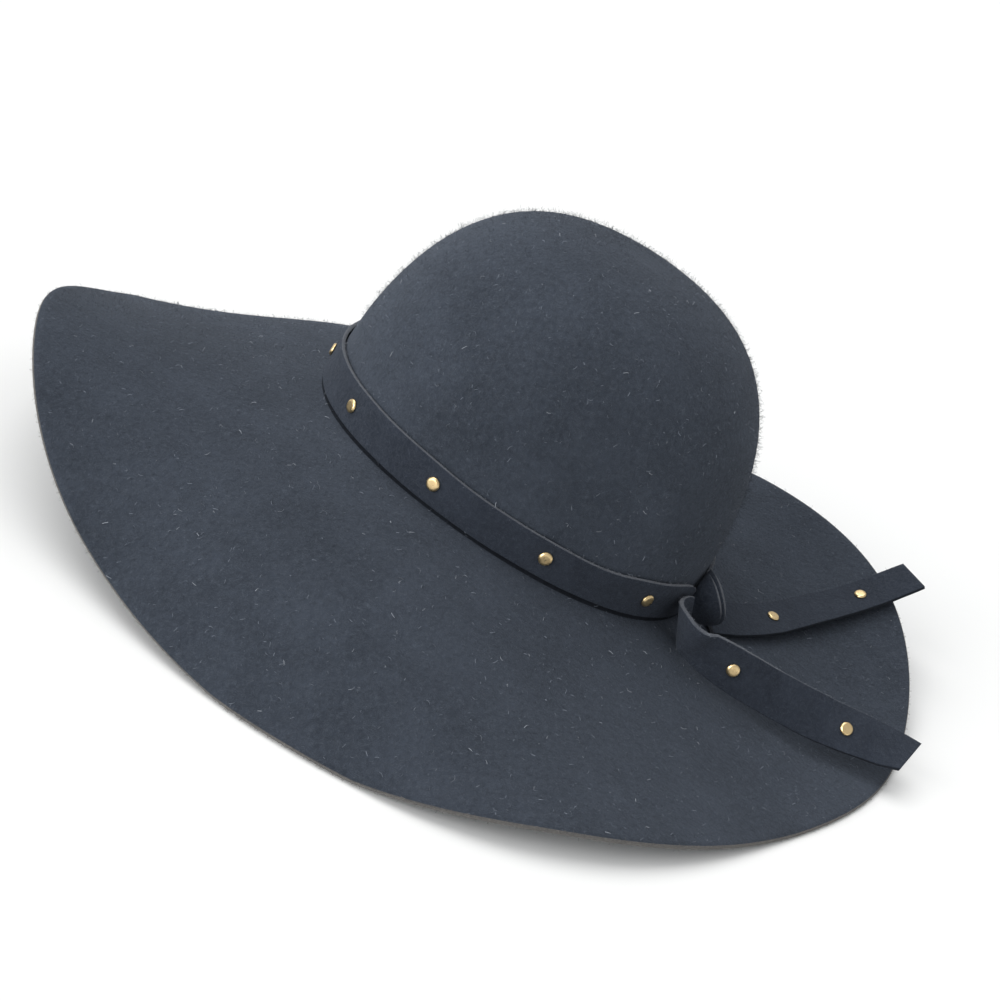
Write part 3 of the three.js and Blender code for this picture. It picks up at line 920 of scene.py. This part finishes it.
def studPlaces():
    turn, travelled = bandDistances()
    count = 1 + int((travelled[-1] - 2 * studForm["bandFirst"]) / studForm["pitch"] + 1e-6)
    wanted = studForm["bandFirst"] + studForm["pitch"] * np.arange(count)
    sections = [bandSection(np.interp(wanted, travelled, turn))]
    for name, route in tailRoutes.items():
        wanted = route["firstStud"] + studForm["tailPitch"] * np.arange(studForm["onTail"])
        sections.append(tailAt(tailLines[name], wanted))
    return [np.concatenate([section[k] for section in sections]) for k in range(3)]


def makeStudShape():
    radius, height = studForm["across"] / 2 * metre, studForm["proud"] * metre
    sides = studForm["sides"]
    points, faces = [], []
    for share, high in studForm["profile"]:
        for i in range(sides):
            t = 2 * math.pi * i / sides
            points.append((share * radius * math.cos(t), share * radius * math.sin(t), high * height))
    rows = len(studForm["profile"])
    faces += [tuple(reversed(face)) for face in gridFaces(rows, sides)]
    points += [(0, 0, height), (0, 0, 0)]
    for i in range(sides):
        following = (i + 1) % sides
        faces.append(((rows - 1) * sides + i, (rows - 1) * sides + following, rows * sides))
        faces.append((following, i, rows * sides + 1))
    return addObject("studShape", plainMesh("studShape", points, faces))


# The end of a tree: instances made real, in the finish that the tree is given
def endTree(tree, start, put, end, at):
    real = addNode(tree, "GeometryNodeRealizeInstances", at)
    finish = addNode(tree, "GeometryNodeSetMaterial", (at[0] + 240, at[1]))
    tree.links.new(put.outputs["Instances"], real.inputs["Geometry"])
    tree.links.new(real.outputs["Geometry"], finish.inputs["Geometry"])
    tree.links.new(start.outputs["Finish"], finish.inputs["Material"])
    tree.links.new(finish.outputs["Geometry"], end.inputs["Geometry"])


# Sets one stud on each point, turned by the point's own directions
def makeStudTree():
    form = {"Geometry": ("Geometry", None)}
    inputs = {**form, "Stud": ("Object", None), "Size": ("Float", 1.0), "Finish": ("Material", None)}
    tree, start, end = newTree("setStuds", "GeometryNodeTree", inputs, form)
    link = tree.links.new
    info = addNode(tree, "GeometryNodeObjectInfo", (-650, -160))
    link(start.outputs["Stud"], info.inputs["Object"])
    axes = addNode(tree, "FunctionNodeAxesToRotation", (-420, -440), primary_axis="Z", secondary_axis="X")
    for name, axis, level in (("facing", "Primary Axis", -380), ("upright", "Secondary Axis", -560)):
        named = addNode(tree, "GeometryNodeInputNamedAttribute", (-650, level), data_type="FLOAT_VECTOR")
        named.inputs["Name"].default_value = name
        link(named.outputs["Attribute"], axes.inputs[axis])
    put = addNode(tree, "GeometryNodeInstanceOnPoints", (-160, 0))
    link(start.outputs["Geometry"], put.inputs["Points"])
    link(info.outputs["Geometry"], put.inputs["Instance"])
    link(axes.outputs["Rotation"], put.inputs["Rotation"])
    link(start.outputs["Size"], put.inputs["Scale"])
    endTree(tree, start, put, end, (80, 0))
    return tree


# Runs a tree on an object and gives the result as a plain mesh object
def grown(name, base, tree, **values):
    modifier = base.modifiers.new(name, "NODES")
    modifier.node_group = tree
    for item in tree.interface.items_tree:
        if item.item_type == "SOCKET" and item.in_out == "INPUT" and item.name in values:
            modifier[item.identifier] = values[item.name]
    graph = bpy.context.evaluated_depsgraph_get()
    graph.update()
    mesh = bpy.data.meshes.new_from_object(base.evaluated_get(graph), depsgraph=graph)
    base.modifiers.remove(modifier)
    mesh.name = name
    return addObject(name, mesh)


def makeStuds():
    centre, across, face = studPlaces()
    seat = centre + face * (strapForm["thick"] / 2 + studForm["stand"])
    mesh = plainMesh("studPoints", placed(seat).tolist(), [])
    for name, vectors in (("facing", face), ("upright", across)):
        attribute = mesh.attributes.new(name, "FLOAT_VECTOR", "POINT")
        attribute.data.foreach_set("vector", (vectors @ hatTurn.T).astype(np.float32).ravel())
    base = addObject("studPoints", mesh)
    shape = makeStudShape()
    made = grown("strapStuds", base, makeStudTree(), Stud=shape, Size=1.0, Finish=studBrass)
    bpy.data.objects.remove(base)
    bpy.data.objects.remove(shape)
    return made


strapStuds = makeStuds()
print("studs made,", len(strapStuds.data.polygons), "faces")


# Loose fibres: fine bent blades that stand in the felt's surface. These are the values of a kind
# of fibre below where it doesn't say its own.
fuzzUsual = {"Density": 1000.0, "Length": 0.0009, "Rise": 0.8, "Droop": 0.2, "Width": 0.00007,
             "Shortest": 0.3, "Longest": 1.4, "Tilt": 1.1, "Roll": 0.0}
bladeForm = {
    "parts": 3,
    "bendAt": 0.35,  # share of a blade's length
    "sizeSeed": 11,  # added to a tree's seed for the blades' sizes
}


def makeFibreTree():
    form = {"Geometry": ("Geometry", None)}
    sizes = {name: ("Float", value) for name, value in fuzzUsual.items()}
    inputs = {**form, **sizes, "Seed": ("Int", 3), "Finish": ("Material", None)}
    tree, start, end = newTree("looseFibres", "GeometryNodeTree", inputs, form)
    link = tree.links.new
    scatter = addNode(tree, "GeometryNodeDistributePointsOnFaces", (-900, 200), distribute_method="RANDOM")
    for name, socket in (("Geometry", "Mesh"), ("Density", "Density"), ("Seed", "Seed")):
        link(start.outputs[name], scatter.inputs[socket])

    def point(at, **values):
        node = addNode(tree, "ShaderNodeCombineXYZ", at)
        for key, value in values.items():
            feed(tree, node.inputs[key], value)
        return node.outputs[0]

    length, seed = start.outputs["Length"], start.outputs["Seed"]
    high = maths(tree, "MULTIPLY", length, start.outputs["Rise"], (-1080, -200))
    kept = maths(tree, "SUBTRACT", 1.0, start.outputs["Droop"], (-1080, -380))
    tip = maths(tree, "MULTIPLY", high, kept, (-900, -380))
    bendAt = maths(tree, "MULTIPLY", length, bladeForm["bendAt"], (-900, -240))
    stem = addNode(tree, "GeometryNodeCurveQuadraticBezier", (-480, -200))
    stem.inputs["Resolution"].default_value = bladeForm["parts"]
    link(point((-700, -120)), stem.inputs["Start"])
    link(point((-700, -260), X=bendAt, Z=high), stem.inputs["Middle"])
    link(point((-700, -400), X=length, Z=tip), stem.inputs["End"])
    wide = addNode(tree, "GeometryNodeCurvePrimitiveLine", (-480, -480))
    halfWide = maths(tree, "MULTIPLY", start.outputs["Width"], 0.5, (-900, -560))
    otherHalf = maths(tree, "MULTIPLY", halfWide, -1.0, (-700, -640))
    link(point((-700, -760), X=otherHalf), wide.inputs["Start"])
    link(point((-700, -560), X=halfWide), wide.inputs["End"])
    blade = addNode(tree, "GeometryNodeCurveToMesh", (-240, -260))
    link(stem.outputs["Curve"], blade.inputs["Curve"])
    link(wide.outputs["Curve"], blade.inputs["Profile Curve"])
    lean = addNode(tree, "FunctionNodeRandomValue", (-700, 40), data_type="FLOAT_VECTOR")
    tilt, roll = start.outputs["Tilt"], start.outputs["Roll"]
    back = maths(tree, "MULTIPLY", tilt, -1.0, (-1080, -60))
    leastRoll = maths(tree, "ADD", back, roll, (-1080, 60))
    mostRoll = maths(tree, "ADD", tilt, roll, (-1080, 140))
    link(point((-900, -20), X=leastRoll, Y=back), lean.inputs["Min"])
    link(point((-900, -100), X=mostRoll, Y=tilt, Z=2 * math.pi), lean.inputs["Max"])
    link(seed, lean.inputs["Seed"])
    turned = addNode(tree, "FunctionNodeEulerToRotation", (-480, 60))
    link(lean.outputs["Value"], turned.inputs["Euler"])
    both = addNode(tree, "FunctionNodeRotateRotation", (-240, 100), rotation_space="LOCAL")
    link(scatter.outputs["Rotation"], both.inputs["Rotation"])
    link(turned.outputs["Rotation"], both.inputs["Rotate By"])
    size = addNode(tree, "FunctionNodeRandomValue", (-240, -60), data_type="FLOAT")
    floats = [socket for socket in size.inputs if socket.type == "VALUE" and socket.name in ("Min", "Max")]
    link(start.outputs["Shortest"], floats[0])
    link(start.outputs["Longest"], floats[1])
    link(maths(tree, "ADD", seed, bladeForm["sizeSeed"], (-480, -60)), size.inputs["Seed"])
    put = addNode(tree, "GeometryNodeInstanceOnPoints", (60, 100))
    link(scatter.outputs["Points"], put.inputs["Points"])
    link(blade.outputs["Mesh"], put.inputs["Instance"])
    link(both.outputs["Rotation"], put.inputs["Rotation"])
    sizeOut = [socket for socket in size.outputs if socket.enabled and socket.type == "VALUE"][0]
    link(sizeOut, put.inputs["Scale"])
    endTree(tree, start, put, end, (300, 100))
    return tree


fibreColours = {
    "fuzz": {"dark": (0.026, 0.03, 0.04), "light": (0.075, 0.084, 0.1)},
    "edge": {"dark": (0.08, 0.075, 0.07), "light": (0.24, 0.22, 0.2)},
    "lint": {"dark": (0.2, 0.22, 0.25), "light": (0.5, 0.53, 0.58)},
    "pale": {"dark": (0.1, 0.115, 0.14), "light": (0.26, 0.29, 0.34)},
    "trim": {"dark": (0.1, 0.11, 0.13), "light": (0.3, 0.32, 0.36)},
}


def makeFibreMaterial(name, dark, light):
    material, tree, shader = newMaterial(name, **{"Roughness": 0.9, "Specular IOR Level": 0.1})
    where = addNode(tree, "ShaderNodeTexCoord", (-800, 0)).outputs["Object"]
    mottling = noiseOn(tree, where, (-600, 0), Scale=400, Detail=2).outputs[0]
    tree.links.new(mixColour(tree, mottling, dark, light, (-300, 0)), shader.inputs["Base Color"])
    return material


fibreTree = makeFibreTree()
fibreFinish = {key: makeFibreMaterial(key + "Wool", **pair) for key, pair in fibreColours.items()}


def skinPart(name, rows):
    return makeMesh(name, rows.reshape(-1, 3), gridFaces(len(rows), rows.shape[1]), [wool["hatFelt"]])


stripSteps = 80


# The strap's upper cut edges as narrow strips, for the fibres that stand out of them
def edgeStrips(name):
    points, faces = [], []
    runs = [[np.concatenate([part, part[:1]]) for part in bandRun()]]
    for key, route in tailRoutes.items():
        distances = np.linspace(0, route["length"], stripSteps)
        runs.append([*tailAt(tailLines[key], distances), np.full(len(distances), strapForm["tailWidth"])])
    deep = strapForm["thick"] / 2 - strapForm["edgeRound"] / 2
    for centre, across, face, width in runs:
        edge = centre + across * width[:, None] / 2
        faces += gridFaces(2, len(centre), closed=False, first=len(points))
        points += [*(edge + face * deep), *(edge - face * deep)]
    return makeMesh(name, points, faces, [wool["strapFelt"]])


fuzzForms = {
    "crownFuzz": {"Density": 420000.0, "Length": 0.0019, "Rise": 0.95, "Droop": 0.3, "Tilt": 1.0, "Seed": 5},
    "brimFuzz": {"Density": 270000.0, "Length": 0.0014, "Droop": 0.35, "Longest": 1.35, "Seed": 8},
    "underFuzz": {"Density": 50000.0, "Length": 0.0011, "Rise": 0.7, "Droop": 0.35, "Width": 0.00008,
                  "Shortest": 0.35, "Longest": 1.3, "Seed": 9},
    "rimFuzz": {"Density": 2200000.0, "Seed": 12},
    "strapFuzz": {"Density": 5000000.0, "Width": 0.00008, "Seed": 15},
    "hatLint": {"Density": 4600.0, "Length": 0.0018, "Rise": 0.75, "Droop": 0.75, "Width": 0.0001,
                "Shortest": 0.2, "Longest": 1.6, "Tilt": 0.8, "Roll": 0.9, "Seed": 21},
    "paleLint": {"Density": 30000.0, "Length": 0.0013, "Rise": 0.7, "Droop": 0.7, "Width": 0.00011,
                 "Longest": 1.7, "Tilt": 0.8, "Roll": 0.8, "Seed": 33},
}
clearRings = {"crown": 4, "under": 2}  # left bare beside the band, and under the crown's foot
crownRows = skinForm["crownRings"] - 1
bendRows = len(skinForm["bendShares"])
rimRows = np.stack([skinTop[-1], (skinTop[-1] + skinUnder[-1]) / 2, skinUnder[-1]])
fuzzBases = {
    "crownFuzz": (skinTop[:crownRows - clearRings["crown"]], "fuzz"),
    "brimFuzz": (skinTop[crownRows + bendRows:], "fuzz"),
    "underFuzz": (skinUnder[crownRows + bendRows + clearRings["under"]:][::-1], "fuzz"),
    "rimFuzz": (rimRows, "edge"),
    "strapFuzz": (None, "trim"),
    "hatLint": (skinTop, "lint"),
    "paleLint": (skinTop, "pale"),
}


def growFuzz(name):
    rows, finish = fuzzBases[name]
    base = edgeStrips(name + "Base") if rows is None else skinPart(name + "Base", rows)
    made = grown(name, base, fibreTree, Finish=fibreFinish[finish], **fuzzForms[name])
    bpy.data.objects.remove(base)
    print(name, len(made.data.polygons), "faces")
    return made


fuzz = [growFuzz(name) for name in fuzzForms]


# Floor and light
stageForm = {
    "side": 60.0,
    "low": 0.0003,
    "paint": (0.86, 0.86, 0.85, 1),
    "sky": (0.97, 0.985, 1.0, 1),
    "skyLight": 0.6,
    "skySeen": 0.93,
}


def makeStage():
    side, low = stageForm["side"], -stageForm["low"]
    corners = [(-side, -side, low), (side, -side, low), (side, side, low), (-side, side, low)]
    floor = addObject("floor", plainMesh("floor", corners, [(0, 1, 2, 3)]))
    values = {"Base Color": stageForm["paint"], "Roughness": 0.8, "Specular IOR Level": 0.1}
    floor.data.materials.append(newMaterial("floorPaint", **values)[0])


# The sky lights the hat softly, and shows brighter behind it than it shines
def makeSky():
    world = bpy.data.worlds.new("studio")
    world.use_nodes = True
    tree = world.node_tree
    lit = tree.nodes["Background"]
    seen = addNode(tree, "ShaderNodeBackground", (0, -200))
    for node, strength in ((lit, "skyLight"), (seen, "skySeen")):
        node.inputs["Color"].default_value = stageForm["sky"]
        node.inputs["Strength"].default_value = stageForm[strength]
    path = addNode(tree, "ShaderNodeLightPath", (0, 300))
    mix = addNode(tree, "ShaderNodeMixShader", (220, 0))
    tree.links.new(path.outputs["Is Camera Ray"], mix.inputs[0])
    tree.links.new(lit.outputs[0], mix.inputs[1])
    tree.links.new(seen.outputs[0], mix.inputs[2])
    tree.links.new(mix.outputs[0], tree.nodes["World Output"].inputs["Surface"])
    bpy.context.scene.world = world


# Directions are the camera's own. A soft angle is the width of the light as the hat sees it.
lampForms = {
    "topLamp": {"aside": 0.0, "above": 1.0, "near": 0.25, "soft": 50, "strength": 1.43},
    "frontLamp": {"aside": -0.7, "above": 0.3, "near": 0.8, "soft": 50, "strength": 2.52},
}


def makeLamps():
    for name, form in lampForms.items():
        way = cameraAxes @ Vector((form["aside"], form["above"], form["near"]))
        data = bpy.data.lights.new(name, "SUN")
        data.angle = math.radians(form["soft"])
        data.energy = form["strength"]
        lamp = addObject(name, data)
        lamp.location = way.normalized()
        lamp.rotation_mode = "QUATERNION"
        lamp.rotation_quaternion = way.to_track_quat("Z", "Y")


makeStage()
makeSky()
makeLamps()
bpy.context.scene.view_settings.view_transform = "Standard"
print("stage and lamps made")


# Each piece rides on the hat's one body and stands for its solids
studNodes = sorted(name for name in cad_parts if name.startswith("stud_"))
standsFor = [
    (feltBody, ["felt_body"], "felt"),
    (hatBand, ["hat_band"], "strap"),
    (bandKnot, ["band_knot"], "strap"),
    (tails["tailFront"], ["tail_front"], "strap"),
    (tails["tailBack"], ["tail_back"], "strap"),
    (strapStuds, studNodes, "stud"),
]
for piece, nodes, slot in standsFor:
    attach(piece, "root")
    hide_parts(*nodes)
for piece in fuzz:
    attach(piece, "root")

print("pieces joined to the frame")
